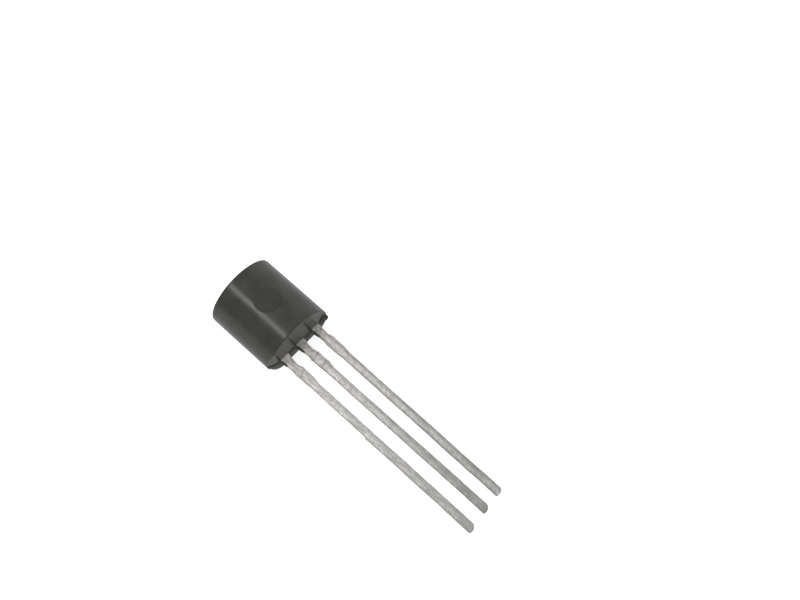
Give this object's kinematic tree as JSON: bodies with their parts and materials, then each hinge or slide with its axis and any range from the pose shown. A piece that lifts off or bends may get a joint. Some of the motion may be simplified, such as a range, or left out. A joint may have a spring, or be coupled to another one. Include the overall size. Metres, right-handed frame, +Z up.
{
  "type": "voltage reference chip",
  "caption": "Small through-hole voltage reference: a D-shaped black moulded package with a flat face, a curved back and straight tinned leads in one row, lying flat side down.",
  "frame": {"origin": "the middle of the edge where the flat face meets the lead end of the body, on the surface that the part lies on", "axes": "+X along the table from the body towards the lead tips, +Y across the leads towards lead 1, +Z up from the flat face to the curved back; the package leans 3.4 degrees towards its lead tips, as it comes to rest"},
  "size_m": [0.0194, 0.0046, 0.0039],
  "materials": {
    "moulding_resin": "satin",
    "tinned_lead": "satin",
    "die_glue": "satin",
    "silicon": "polished",
    "gold_wire": "polished"
  },
  "bodies": {
    "root": {"moulded_body": "moulding_resin", "lead_1": "tinned_lead", "lead_2": "tinned_lead", "lead_3": "tinned_lead", "die_attach": "die_glue", "silicon_die": "silicon", "bond_wire_1": "gold_wire", "bond_wire_3": "gold_wire"}
  },
  "joints": []
}
